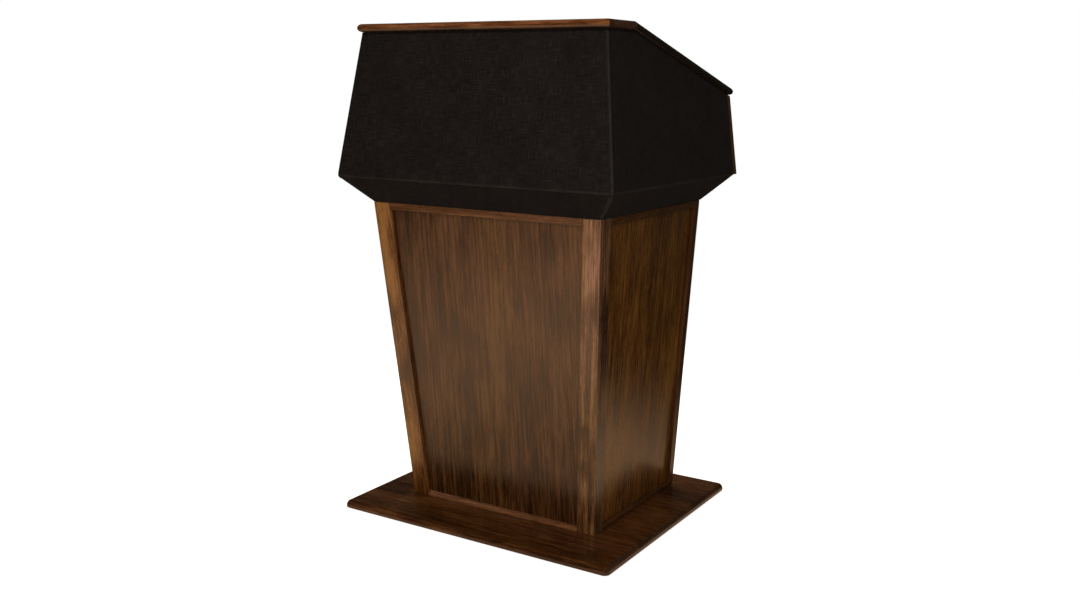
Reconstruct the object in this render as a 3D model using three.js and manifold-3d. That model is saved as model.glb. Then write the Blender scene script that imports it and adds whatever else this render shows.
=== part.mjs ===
// Presentation lectern. A base board carries a frame-and-panel column that widens upwards, and the
// column carries a flared hood covered in black cloth, under a walnut top with a sloping reading board.
// Millimetres, +Z up. The origin is on the floor below the middle of the lectern. The audience is
// towards -Y, the speaker stands at +Y, and the lectern is symmetric about X = 0.

import * as THREE from 'three';
import { mergeVertices } from 'three/addons/utils/BufferGeometryUtils.js';
import Module from 'manifold-3d';

const wasm = await Module();
wasm.setup();

// Driving dimensions: the whole. GAP is the clearance between neighbouring pieces.
const TOTAL_HEIGHT = 1219;
const BOARD = 19;
const PLY = 12;
const CLOTH = 2;
const GAP = 0.3;
const BEYOND = 2000;

// Driving dimensions: base and glides
const BASE_WIDTH = 774;
const BASE_DEPTH = 664;
const BASE_CENTRE_Y = -2;
const BASE_CORNER_RADIUS = 15;
const BASE_ROUND_OVER = 14;
const BASE_UNDER_EDGE = 2.5;
const GLIDE_HEIGHT = 3;
const GLIDE_RADIUS = 12;
const GLIDE_INSET = 42;
const NAIL_RADIUS = 1.2;
const NAIL_TIP = 15;
const SCREW_HEAD_RADIUS = 4.3;
const SCREW_SHANK_RADIUS = 2;
const SCREW_HEAD = 2.8;
const SCREW_LENGTH = 33;
const SCREW_POINT = 5;

// Driving dimensions: outlines of the body at four heights. side is the half width, front the reach
// towards -Y and back the reach towards +Y.
const FOOT = { z: GLIDE_HEIGHT + BOARD, side: 270, front: 188, back: 247 };
const NECK = { z: 794, side: 320, front: 272, back: 247 };
const CREASE = { z: 858, side: 382, front: 335, back: 316 };
const RIM = { z: TOTAL_HEIGHT - BOARD, side: 335, front: 286, back: 316 };

// Driving dimensions: column
const POST = 47;
const BACK_POST = 25;
const PANEL_RECESS = 10;
const TONGUE = 8;
const TOP_RAIL = 17;
const TOP_RAIL_DEPTH = PANEL_RECESS + PLY + 8;
const FOOT_MOULDING = 13;
const BACK_TOP_RAIL = 40;
const BACK_FOOT_RAIL = 40;
const CLEAT = 18;
const CLEAT_END_GAP = 10;

// Driving dimensions: shelf and its pins
const SHELF_Z = 420;
const SHELF_THICKNESS = 18;
const SHELF_EDGE_RADIUS = 1.5;
const SHELF_HALF_WIDTH = 268;
const SHELF_FRONT = 180;
const SHELF_BACK = 210;
const PIN_INSET = 37;
const PIN_RADIUS = 2.5;
const PIN_IN_PANEL = 8;
const PIN_REACH = 12;
const PIN_COLLAR_RADIUS = 4;
const PIN_COLLAR = [0.5, 2];
const PIN_HOLE_RADIUS = 2.65;
const PIN_HOLE_PITCH = 32;
const PIN_HOLES_EACH_WAY = 2;

// Driving dimensions: hood and top
const HOOD_STILE = 45;
const SILL_HEIGHT = 30;
const SILL_DEPTH = 36;
const APRON_HEIGHT = 25;
const MITRE_GAP = 0.6;
const SLOPE = THREE.MathUtils.degToRad(16);
const BEND_Y = -169;
const TOP_OVERHANG = 8;
const BULLNOSE = 9.4;
const STOP_HALF_LENGTH = 318;
const STOP_HEIGHT = 12;
const STOP_WIDTH = 11;
const STOP_FROM_END = 16;
const STOP_EDGE_RADIUS = 2.5;

const HOOD_BACK = RIM.back + BOARD;
const LEFT_AND_RIGHT = [['left', -1], ['right', 1]];

const FINISHES = {
  solid_walnut: { color: 0x4a2b18, roughness: 0.42, metalness: 0 },
  walnut_veneer: { color: 0x3b2416, roughness: 0.38, metalness: 0 },
  walnut_top: { color: 0x5a321a, roughness: 0.35, metalness: 0 },
  inside_ply: { color: 0x6b4a30, roughness: 0.6, metalness: 0 },
  black_cloth: { color: 0x1a1715, roughness: 0.95, metalness: 0 },
  nylon: { color: 0x8a8378, roughness: 0.5, metalness: 0 },
  zinc_steel: { color: 0xa9a9a6, roughness: 0.35, metalness: 1 },
};

const lectern = new THREE.Group();

function addPiece(name, finish, geometry) {
  const mesh = new THREE.Mesh(geometry, new THREE.MeshStandardMaterial(FINISHES[finish]));
  mesh.name = name;
  lectern.add(mesh);
}

// Booleans

function toSolid(geometry) {
  const bare = geometry.clone();
  bare.deleteAttribute('normal');
  bare.deleteAttribute('uv');
  const merged = mergeVertices(bare, 1e-4);
  const vertProperties = new Float32Array(merged.attributes.position.array);
  const triVerts = new Uint32Array(merged.index.array);
  return new wasm.Manifold(new wasm.Mesh({ numProp: 3, vertProperties, triVerts }));
}

function cut(geometry, ...cutters) {
  let solid = toSolid(geometry);
  for (const cutter of cutters) solid = solid.subtract(toSolid(cutter));
  const mesh = solid.getMesh();
  const result = new THREE.BufferGeometry();
  result.setAttribute('position', new THREE.BufferAttribute(mesh.vertProperties, 3));
  result.setIndex(new THREE.BufferAttribute(mesh.triVerts, 1));
  return result;
}

// Shapes that follow the body's leaning faces

// The outline at any height of the stretch of body between two outlines.
function stretch(low, high) {
  return (z) => {
    const part = (z - low.z) / (high.z - low.z);
    return {
      side: THREE.MathUtils.lerp(low.side, high.side, part),
      front: THREE.MathUtils.lerp(low.front, high.front, part),
      back: THREE.MathUtils.lerp(low.back, high.back, part),
    };
  };
}

const column = stretch(FOOT, NECK);
const bevel = stretch(NECK, CREASE);
const hood = stretch(CREASE, RIM);

// A six-sided solid between two heights. plan turns the outline there into its four corners, in the
// order front left, front right, back left, back right.
function prismoid(body, zLow, zHigh, plan) {
  const corners = [plan(body(zLow)), plan(body(zHigh))];
  const geometry = new THREE.BoxGeometry(1, 1, 1);
  const position = geometry.attributes.position;
  for (let i = 0; i < position.count; i++) {
    const level = position.getZ(i) > 0 ? 1 : 0;
    const corner = (position.getX(i) > 0 ? 1 : 0) + (position.getY(i) > 0 ? 2 : 0);
    const [x, y] = corners[level][corner];
    position.setXYZ(i, x, y, level ? zHigh : zLow);
  }
  return geometry;
}

function rectangle(x0, x1, y0, y1) {
  return [[x0, y0], [x1, y0], [x0, y1], [x1, y1]];
}

// The same rectangle on the left (side -1) or on the right (side 1), from its two distances from X = 0.
function sidedRectangle(side, inner, outer, y0, y1) {
  return side > 0 ? rectangle(inner, outer, y0, y1) : rectangle(-outer, -inner, y0, y1);
}

// A long profile, drawn as outward and upward, laid level along a face that looks along outward.
function rail(profile, length, outward, along, start) {
  const geometry = new THREE.ExtrudeGeometry(profile, { depth: length, bevelEnabled: false });
  const basis = new THREE.Matrix4().makeBasis(outward, new THREE.Vector3(0, 0, 1), along);
  geometry.applyMatrix4(basis.setPosition(start));
  return geometry;
}

// A flat board with rounded edges, from the corners of its outline. Its underside is at z = 0.
function roundEdgedBoard(corners, thickness, radius, segments) {
  const outline = new THREE.Shape(corners.map(([x, y]) => new THREE.Vector2(x, y)));
  const geometry = new THREE.ExtrudeGeometry(outline, {
    depth: thickness - 2 * radius,
    bevelThickness: radius,
    bevelSize: radius,
    bevelOffset: -radius,
    bevelSegments: segments,
  });
  geometry.translate(0, 0, radius);
  return geometry;
}

// The top's underside is level as far as the bend, and falls towards the speaker after it.

function underTop(y) {
  return RIM.z - Math.max(0, y - BEND_Y) * Math.tan(SLOPE);
}

// All the space above the underside, lowered by drop, which trims what stands below the top.
function spaceAboveTop(drop) {
  const flat = new THREE.BoxGeometry(BEYOND, BEYOND, BEYOND);
  flat.translate(0, 0, RIM.z - drop + BEYOND / 2);
  const sloping = new THREE.BoxGeometry(BEYOND, BEYOND, BEYOND);
  sloping.translate(0, 0, BEYOND / 2 - drop);
  sloping.rotateX(-SLOPE);
  sloping.translate(0, BEND_Y, RIM.z);
  return [flat, sloping];
}

// All the space below the sloping underside, lowered by drop.
function spaceBelowSlope(drop) {
  const below = new THREE.BoxGeometry(BEYOND, BEYOND, BEYOND);
  below.translate(0, 0, -BEYOND / 2 - drop);
  below.rotateX(-SLOPE);
  below.translate(0, BEND_Y, RIM.z);
  return below;
}

// The space behind (direction 1) or in front of (direction -1) the mitre between the top's two boards.
function spacePastMitre(direction) {
  const space = new THREE.BoxGeometry(BEYOND, BEYOND, BEYOND);
  space.translate(0, direction * (BEYOND / 2 - GAP / 2), 0);
  space.rotateX(-SLOPE / 2);
  space.translate(0, BEND_Y, RIM.z);
  return space;
}

// Base

// The screws stand in the middle of the cleats that lie along the panels' inner faces.
const cleatInset = PANEL_RECESS + PLY + GAP;
const cleatMiddle = cleatInset + CLEAT / 2;
const screwPlaces = LEFT_AND_RIGHT.flatMap(([, side]) => [
  [side * (FOOT.side - cleatMiddle), -FOOT.front / 2],
  [side * (FOOT.side - cleatMiddle), FOOT.back * 0.6],
  [side * FOOT.side / 2, -FOOT.front + cleatMiddle],
]);

function turned(points, segments, x, y, z) {
  const profile = points.map(([r, height]) => new THREE.Vector2(r, height));
  const geometry = new THREE.LatheGeometry(profile, segments);
  geometry.rotateX(Math.PI / 2);
  geometry.translate(x, y, z);
  return geometry;
}

// A countersunk wood screw, or with grow its clearance, with its head at the base's underside.
function baseScrew(x, y, grow) {
  const shank = SCREW_SHANK_RADIUS + grow;
  const points = [
    [0, -grow], [SCREW_HEAD_RADIUS + grow, -grow], [shank, SCREW_HEAD],
    [shank, SCREW_LENGTH - SCREW_POINT], [0, SCREW_LENGTH + grow],
  ];
  return turned(points, 12, x, y, GLIDE_HEIGHT + GAP);
}

const glidePlaces = LEFT_AND_RIGHT.flatMap(([sideName, side]) => [['front', -1], ['back', 1]].map(
  ([endName, end]) => ({
    name: `glide_${endName}_${sideName}`,
    x: side * (BASE_WIDTH / 2 - GLIDE_INSET),
    y: BASE_CENTRE_Y + end * (BASE_DEPTH / 2 - GLIDE_INSET),
  }),
));

// A nail-on glide: a nylon disc with an eased rim, and its pointed nail.
function glide(x, y) {
  const disc = GLIDE_HEIGHT - GAP;
  const point = NAIL_TIP - 2 * NAIL_RADIUS;
  return turned([
    [0, 0], [GLIDE_RADIUS - 1.5, 0], [GLIDE_RADIUS, 1.2], [GLIDE_RADIUS, disc],
    [NAIL_RADIUS, disc], [NAIL_RADIUS, point], [0, NAIL_TIP],
  ], 20, x, y, 0);
}

function nailHole(x, y) {
  const radius = NAIL_RADIUS + GAP;
  return turned([[0, 0], [radius, 0], [radius, NAIL_TIP + GAP], [0, NAIL_TIP + GAP]], 8, x, y, 0);
}

// The base board's outline at one height, drawn in by inset from where it is widest.
function baseRing(inset, z) {
  const radius = BASE_CORNER_RADIUS - inset;
  const steps = 4;
  const ring = [];
  [[1, 1], [-1, 1], [-1, -1], [1, -1]].forEach(([sideX, sideY], quarter) => {
    const centreX = sideX * (BASE_WIDTH / 2 - BASE_CORNER_RADIUS);
    const centreY = BASE_CENTRE_Y + sideY * (BASE_DEPTH / 2 - BASE_CORNER_RADIUS);
    for (let i = 0; i <= steps; i++) {
      const turn = (quarter + i / steps) * (Math.PI / 2);
      ring.push([centreX + radius * Math.cos(turn), centreY + radius * Math.sin(turn), z]);
    }
  });
  return ring;
}

// A closed solid through convex rings of equally many points, from the bottom up.
function loft(rings) {
  const count = rings[0].length;
  const positions = rings.flat();
  const index = [];
  for (let level = 0; level + 1 < rings.length; level++) {
    for (let i = 0; i < count; i++) {
      const next = (i + 1) % count;
      const [a, b] = [level * count + i, level * count + next];
      index.push(a, b, b + count, a, b + count, a + count);
    }
  }
  const top = (rings.length - 1) * count;
  for (let i = 1; i + 1 < count; i++) {
    index.push(0, i + 1, i);
    index.push(top, top + i, top + i + 1);
  }
  const geometry = new THREE.BufferGeometry();
  geometry.setAttribute('position', new THREE.Float32BufferAttribute(positions.flat(), 3));
  geometry.setIndex(index);
  return geometry;
}

// The base board is eased below and has a large quarter round above.
function baseBoard() {
  const underSteps = 2;
  const overSteps = 7;
  const rings = [];
  for (let i = 0; i <= underSteps; i++) {
    const turn = (i / underSteps) * (Math.PI / 2);
    const inset = BASE_UNDER_EDGE * (1 - Math.sin(turn));
    rings.push(baseRing(inset, GLIDE_HEIGHT + BASE_UNDER_EDGE * (1 - Math.cos(turn))));
  }
  for (let i = 0; i <= overSteps; i++) {
    const turn = (i / overSteps) * (Math.PI / 2);
    const inset = BASE_ROUND_OVER * (1 - Math.cos(turn));
    rings.push(baseRing(inset, FOOT.z - BASE_ROUND_OVER * (1 - Math.sin(turn))));
  }
  return loft(rings);
}

function addBase() {
  const holes = [
    ...screwPlaces.map(([x, y]) => baseScrew(x, y, GAP)),
    ...glidePlaces.map(({ x, y }) => nailHole(x, y)),
  ];
  addPiece('base_board', 'walnut_top', cut(baseBoard(), ...holes));
  for (const { name, x, y } of glidePlaces) addPiece(name, 'nylon', glide(x, y));
  screwPlaces.forEach(([x, y], i) => addPiece(`base_screw_${i + 1}`, 'zinc_steel', baseScrew(x, y, 0)));
}

// Column

function frontPost(side, grow) {
  return prismoid(column, FOOT.z + GAP - grow, NECK.z + grow, (o) => sidedRectangle(
    side, o.side - POST - grow, o.side + grow, -o.front - grow, -o.front + POST + grow));
}

function backPost(side, grow) {
  return prismoid(column, FOOT.z + GAP - grow, NECK.z + grow, (o) => sidedRectangle(
    side, o.side - BACK_POST - grow, o.side + grow, o.back - BACK_POST - grow, o.back + grow));
}

// The panels stand on the base, and their other edges are held in grooves in the posts and top rails.
const panelBottom = FOOT.z + GAP;
const panelTop = NECK.z - TOP_RAIL + TONGUE;

function frontPanel(grow) {
  return prismoid(column, panelBottom - grow, panelTop + grow, (o) => {
    const half = o.side - POST + TONGUE + grow;
    const face = -o.front + PANEL_RECESS;
    return rectangle(-half, half, face - grow, face + PLY + grow);
  });
}

function sidePanel(side, grow) {
  return prismoid(column, panelBottom - grow, panelTop + grow, (o) => {
    const face = o.side - PANEL_RECESS;
    const y0 = -o.front + POST - TONGUE - grow;
    const y1 = o.back - BACK_POST + TONGUE + grow;
    return sidedRectangle(side, face - PLY - grow, face + grow, y0, y1);
  });
}

// A quarter-round moulding covers the foot of each panel. Its outer face is flush with the posts
// and leans with them, and its top curves back to the panel.
function mouldingProfile(lean) {
  const profile = new THREE.Shape();
  const outer = (z) => z * lean;
  const radius = PANEL_RECESS - GAP;
  const spring = FOOT_MOULDING - radius;
  const steps = 8;
  profile.moveTo(outer(GAP) - radius, GAP);
  profile.lineTo(outer(GAP), GAP);
  for (let i = 0; i <= steps; i++) {
    const turn = (i / steps) * (Math.PI / 2);
    const z = spring + radius * Math.sin(turn);
    profile.lineTo(outer(z) - radius + radius * Math.cos(turn), z);
  }
  profile.closePath();
  return profile;
}

function footMoulding(outward, lean, reach, centreY, length) {
  const along = new THREE.Vector3().crossVectors(outward, new THREE.Vector3(0, 0, 1));
  const start = outward.clone().multiplyScalar(reach).add(new THREE.Vector3(0, centreY, FOOT.z));
  start.addScaledVector(along, -length / 2);
  return rail(mouldingProfile(lean), length, outward, along, start);
}

function topRail(plan) {
  return prismoid(column, NECK.z - TOP_RAIL, NECK.z, plan);
}

function addPosts() {
  for (const [name, side] of LEFT_AND_RIGHT) {
    const grooves = [frontPanel(GAP), sidePanel(side, GAP)];
    addPiece(`post_front_${name}`, 'solid_walnut', cut(frontPost(side, 0), ...grooves));
    addPiece(`post_back_${name}`, 'solid_walnut', cut(backPost(side, 0), sidePanel(side, GAP)));
  }
}

// Pin holes run in two columns up each side panel, and the shelf's pins stand in the middle ones.

const pinHeight = SHELF_Z - PIN_RADIUS - GAP;
const pinYs = [['front', -SHELF_FRONT + PIN_INSET], ['back', SHELF_BACK - PIN_INSET]];

// A turned piece whose axis points from the side panel's inner face towards the middle.
function pinPiece(points, side, y, z) {
  const profile = points.map(([r, reach]) => new THREE.Vector2(r, reach));
  const geometry = new THREE.LatheGeometry(profile, 12);
  geometry.rotateZ(side * Math.PI / 2);
  geometry.translate(side * (column(z).side - PANEL_RECESS - PLY), y, z);
  return geometry;
}

function pinHoles(side) {
  const holes = [];
  for (const [, y] of pinYs) {
    for (let i = -PIN_HOLES_EACH_WAY; i <= PIN_HOLES_EACH_WAY; i++) {
      const [bottom, mouth] = [-PIN_IN_PANEL - GAP, PIN_HOLE_RADIUS];
      const points = [[0, bottom], [PIN_HOLE_RADIUS, bottom], [PIN_HOLE_RADIUS, mouth], [0, mouth]];
      holes.push(pinPiece(points, side, y, pinHeight + i * PIN_HOLE_PITCH));
    }
  }
  return holes;
}

function shelfPin(side, y) {
  const [inner, outer] = PIN_COLLAR;
  const easing = 0.5;
  return pinPiece([
    [0, -PIN_IN_PANEL], [PIN_RADIUS, -PIN_IN_PANEL],
    [PIN_RADIUS, inner], [PIN_COLLAR_RADIUS, inner], [PIN_COLLAR_RADIUS, outer], [PIN_RADIUS, outer],
    [PIN_RADIUS, PIN_REACH - easing], [PIN_RADIUS - easing, PIN_REACH], [0, PIN_REACH],
  ], side, y, pinHeight);
}

function addPanels() {
  addPiece('panel_front', 'walnut_veneer', frontPanel(0));
  for (const [name, side] of LEFT_AND_RIGHT) {
    addPiece(`panel_${name}`, 'walnut_veneer', cut(sidePanel(side, 0), ...pinHoles(side)));
  }
}

function addTopRails() {
  const front = topRail((o) => rectangle(
    -o.side + POST + GAP, o.side - POST - GAP, -o.front, -o.front + TOP_RAIL_DEPTH));
  addPiece('top_rail_front', 'solid_walnut', cut(front, frontPanel(GAP)));
  for (const [name, side] of LEFT_AND_RIGHT) {
    const top = topRail((o) => sidedRectangle(
      side, o.side - TOP_RAIL_DEPTH, o.side, -o.front + POST + GAP, o.back - BACK_POST - GAP));
    addPiece(`top_rail_${name}`, 'solid_walnut', cut(top, sidePanel(side, GAP)));
  }
}

function addFootMouldings() {
  const frontLean = (NECK.front - FOOT.front) / (NECK.z - FOOT.z);
  const sideLean = (NECK.side - FOOT.side) / (NECK.z - FOOT.z);
  const frontPosts = LEFT_AND_RIGHT.map(([, side]) => frontPost(side, GAP));
  const forward = new THREE.Vector3(0, -1, 0);
  const front = footMoulding(forward, frontLean, FOOT.front, 0, 2 * FOOT.side - POST);
  addPiece('foot_moulding_front', 'solid_walnut', cut(front, ...frontPosts));

  const sideStart = -FOOT.front + POST / 2;
  const sideEnd = FOOT.back - BACK_POST - GAP;
  const sideMiddle = (sideStart + sideEnd) / 2;
  for (const [name, side] of LEFT_AND_RIGHT) {
    const outward = new THREE.Vector3(side, 0, 0);
    const moulding = footMoulding(outward, sideLean, FOOT.side, sideMiddle, sideEnd - sideStart);
    addPiece(`foot_moulding_${name}`, 'solid_walnut', cut(moulding, frontPost(side, GAP)));
  }
}

// The column's back is open between its posts and two cross rails.
function addBackRails() {
  const plan = (o) => rectangle(
    -o.side + BACK_POST + GAP, o.side - BACK_POST - GAP, o.back - BOARD, o.back);
  const levels = [
    ['back_rail_bottom', FOOT.z + GAP, FOOT.z + BACK_FOOT_RAIL],
    ['back_rail_top', NECK.z - BACK_TOP_RAIL, NECK.z],
  ];
  for (const [name, zLow, zHigh] of levels) {
    const board = prismoid(column, zLow, zHigh, plan);
    const rails = LEFT_AND_RIGHT.map(([, side]) => topRail((o) => sidedRectangle(
      side, o.side - TOP_RAIL_DEPTH - GAP, o.side, -o.front, o.back - BACK_POST)));
    addPiece(name, 'solid_walnut', cut(board, ...rails));
  }
}

// Cleats inside the column's foot take the screws that come up through the base board.
function addBaseCleats() {
  const holes = screwPlaces.map(([x, y]) => baseScrew(x, y, GAP));
  const zLow = FOOT.z + GAP;
  const outer = cleatInset;
  const inner = cleatInset + CLEAT;
  const front = prismoid(column, zLow, zLow + CLEAT, (o) => {
    const half = o.side - POST - CLEAT_END_GAP;
    return rectangle(-half, half, -o.front + outer, -o.front + inner);
  });
  addPiece('base_cleat_front', 'inside_ply', cut(front, ...holes));
  for (const [name, side] of LEFT_AND_RIGHT) {
    const cleat = prismoid(column, zLow, zLow + CLEAT, (o) => sidedRectangle(
      side, o.side - inner, o.side - outer,
      -o.front + POST + CLEAT_END_GAP, o.back - BACK_POST - CLEAT_END_GAP));
    addPiece(`base_cleat_${name}`, 'inside_ply', cut(cleat, ...holes));
  }
}

function addShelf() {
  const corners = [
    [-SHELF_HALF_WIDTH, -SHELF_FRONT], [SHELF_HALF_WIDTH, -SHELF_FRONT],
    [SHELF_HALF_WIDTH, SHELF_BACK], [-SHELF_HALF_WIDTH, SHELF_BACK],
  ];
  const board = roundEdgedBoard(corners, SHELF_THICKNESS, SHELF_EDGE_RADIUS, 2);
  board.translate(0, 0, SHELF_Z);
  addPiece('shelf', 'walnut_veneer', board);
  for (const [sideName, side] of LEFT_AND_RIGHT) {
    for (const [endName, y] of pinYs) {
      addPiece(`shelf_pin_${endName}_${sideName}`, 'zinc_steel', shelfPin(side, y));
    }
  }
}

// Hood

// A sheet on a bevel face between two insets from the outline, mitred at its corners.
function frontBevelSheet(zLow, zHigh, outer, inner) {
  return prismoid(bevel, zLow, zHigh, (o) => [
    [-o.side + outer + MITRE_GAP, -o.front + outer], [o.side - outer - MITRE_GAP, -o.front + outer],
    [-o.side + inner + MITRE_GAP, -o.front + inner], [o.side - inner - MITRE_GAP, -o.front + inner],
  ]);
}

function sideBevelSheet(side, zLow, zHigh, outer, inner, backInset) {
  return prismoid(bevel, zLow, zHigh, (o) => {
    const outerEdge = [side * (o.side - outer), -o.front + outer + MITRE_GAP];
    const innerEdge = [side * (o.side - inner), -o.front + inner + MITRE_GAP];
    const outerBack = [outerEdge[0], o.back - backInset];
    const innerBack = [innerEdge[0], o.back - backInset];
    const right = [innerEdge, outerEdge, innerBack, outerBack];
    return side > 0 ? right : [outerEdge, innerEdge, outerBack, innerBack];
  });
}

const bevelCloth = CLOTH * Math.SQRT2;
const bevelBoard = bevelCloth + GAP;
const bevelInside = bevelBoard + PLY * Math.SQRT2;
const wallFace = CLOTH + GAP;
const wallInside = wallFace + PLY;

function addBevels() {
  const low = NECK.z + GAP;
  const high = CREASE.z - GAP / 2;
  addPiece('hood_bevel_front', 'inside_ply', frontBevelSheet(low, high, bevelBoard, bevelInside));
  addPiece('cloth_bevel_front', 'black_cloth', frontBevelSheet(low, high, 0, bevelCloth));
  for (const [name, side] of LEFT_AND_RIGHT) {
    const board = sideBevelSheet(side, low, high, bevelBoard, bevelInside, CLOTH);
    addPiece(`hood_bevel_${name}`, 'inside_ply', board);
    const cloth = sideBevelSheet(side, low, high, 0, bevelCloth, 0);
    addPiece(`cloth_bevel_${name}`, 'black_cloth', cloth);
  }
  const back = prismoid(bevel, low, high, (o) => {
    const half = o.side - bevelInside - GAP;
    return rectangle(-half, half, o.back - CLOTH - PLY * Math.SQRT2, o.back - CLOTH);
  });
  addPiece('hood_bevel_back', 'walnut_veneer', back);
}

function addHoodFloor() {
  const inset = bevelInside + GAP;
  const floor = prismoid(bevel, NECK.z + GAP, NECK.z + BOARD, (o) => {
    const half = o.side - inset;
    return rectangle(-half, half, -o.front + inset, o.back - CLOTH - PLY * Math.SQRT2 - GAP);
  });
  addPiece('hood_floor', 'walnut_veneer', floor);
}

function addHoodWalls() {
  const low = CREASE.z + GAP / 2;
  const above = spaceAboveTop(GAP);
  const front = prismoid(hood, low, RIM.z - GAP, (o) => rectangle(
    -o.side + wallFace, o.side - wallFace, -o.front + wallFace, -o.front + wallInside));
  addPiece('hood_wall_front', 'inside_ply', front);
  for (const [name, side] of LEFT_AND_RIGHT) {
    const wall = prismoid(hood, low, RIM.z, (o) => sidedRectangle(
      side, o.side - wallInside, o.side - wallFace, -o.front + wallInside + GAP, o.back - GAP));
    addPiece(`hood_wall_${name}`, 'inside_ply', cut(wall, ...above));
  }
  const wrap = prismoid(hood, low, RIM.z, (o) => rectangle(-o.side, o.side, -o.front, o.back - GAP));
  const inside = prismoid(hood, low - BOARD, RIM.z + BOARD, (o) => rectangle(
    -o.side + CLOTH, o.side - CLOTH, -o.front + CLOTH, o.back + BOARD));
  addPiece('cloth_hood', 'black_cloth', cut(wrap, inside, ...above));
}

// The hood's back is a walnut face frame round the mouth of its compartment.
function addHoodBack() {
  const above = spaceAboveTop(GAP);
  const y0 = RIM.back;
  for (const [name, side] of LEFT_AND_RIGHT) {
    const stile = prismoid(hood, CREASE.z, RIM.z, (o) => sidedRectangle(
      side, o.side - HOOD_STILE, o.side, y0, HOOD_BACK));
    addPiece(`hood_stile_${name}`, 'solid_walnut', cut(stile, ...above));
  }
  const between = (o, front) => {
    const half = o.side - HOOD_STILE - GAP;
    return rectangle(-half, half, front, HOOD_BACK);
  };
  const sill = prismoid(hood, CREASE.z + GAP, CREASE.z + SILL_HEIGHT, (o) => between(
    o, HOOD_BACK - SILL_DEPTH));
  addPiece('hood_sill', 'solid_walnut', sill);
  const apronBottom = underTop(HOOD_BACK) - APRON_HEIGHT;
  const apron = prismoid(hood, apronBottom, RIM.z, (o) => between(o, y0));
  addPiece('hood_apron', 'solid_walnut', cut(apron, ...above));
}

// Cleats in the corner between the hood's walls and the top hold the top down.
function addTopCleats() {
  const above = spaceAboveTop(GAP);
  const front = prismoid(hood, RIM.z - CLEAT, RIM.z - GAP, (o) => {
    const half = o.side - wallInside - CLEAT - CLEAT_END_GAP;
    const face = -o.front + wallInside + GAP;
    return rectangle(-half, half, face, face + CLEAT);
  });
  addPiece('top_cleat_front', 'inside_ply', front);
  for (const [name, side] of LEFT_AND_RIGHT) {
    const strip = prismoid(hood, CREASE.z, RIM.z, (o) => sidedRectangle(
      side, o.side - wallInside - CLEAT, o.side - wallInside - GAP,
      BEND_Y + CLEAT, RIM.back - CLEAT_END_GAP));
    const cleat = cut(strip, ...above, spaceBelowSlope(CLEAT));
    addPiece(`top_cleat_${name}`, 'inside_ply', cleat);
  }
}

// Top

function addTop() {
  // Both boards are drawn with some spare length past the bend, which the mitre cuts off.
  const spare = 3 * BOARD;
  const width = RIM.side + TOP_OVERHANG;
  const front = -RIM.front - TOP_OVERHANG;
  const level = roundEdgedBoard(
    [[-width, front], [width, front], [width, BEND_Y + spare], [-width, BEND_Y + spare]],
    BOARD, BULLNOSE, 6);
  level.translate(0, 0, RIM.z);
  addPiece('top_board', 'walnut_top', cut(level, spacePastMitre(1)));

  // The reading board is drawn flat with the bend at y = 0. It ends flush with the hood's back, and
  // its sides flare as the hood's do.
  const middle = BOARD / 2;
  const reach = HOOD_BACK - BEND_Y;
  const length = (reach - BULLNOSE - middle * Math.sin(SLOPE)) / Math.cos(SLOPE) + BULLNOSE;
  const flare = ((CREASE.side - RIM.side) / (RIM.z - CREASE.z)) * Math.sin(SLOPE);
  const halfAt = (along) => width + flare * along;
  const sloping = roundEdgedBoard(
    [[-halfAt(-spare), -spare], [halfAt(-spare), -spare], [halfAt(length), length],
      [-halfAt(length), length]],
    BOARD, BULLNOSE, 6);
  sloping.rotateX(-SLOPE);
  sloping.translate(0, BEND_Y, RIM.z);
  addPiece('reading_board', 'walnut_top', cut(sloping, spacePastMitre(-1)));

  const stopFront = length - STOP_FROM_END - STOP_WIDTH;
  const stop = roundEdgedBoard(
    [[-STOP_HALF_LENGTH, stopFront], [STOP_HALF_LENGTH, stopFront],
      [STOP_HALF_LENGTH, stopFront + STOP_WIDTH], [-STOP_HALF_LENGTH, stopFront + STOP_WIDTH]],
    STOP_HEIGHT, STOP_EDGE_RADIUS, 3);
  stop.translate(0, 0, BOARD + GAP);
  stop.rotateX(-SLOPE);
  stop.translate(0, BEND_Y, RIM.z);
  addPiece('paper_stop', 'walnut_top', stop);
}

addBase();
addPosts();
addPanels();
addTopRails();
addFootMouldings();
addBackRails();
addBaseCleats();
addShelf();
addBevels();
addHoodFloor();
addHoodWalls();
addHoodBack();
addTopCleats();
addTop();

export default lectern;
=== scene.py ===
import math

import bmesh
import bpy
from mathutils import Euler, Matrix, Vector, noise


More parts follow.
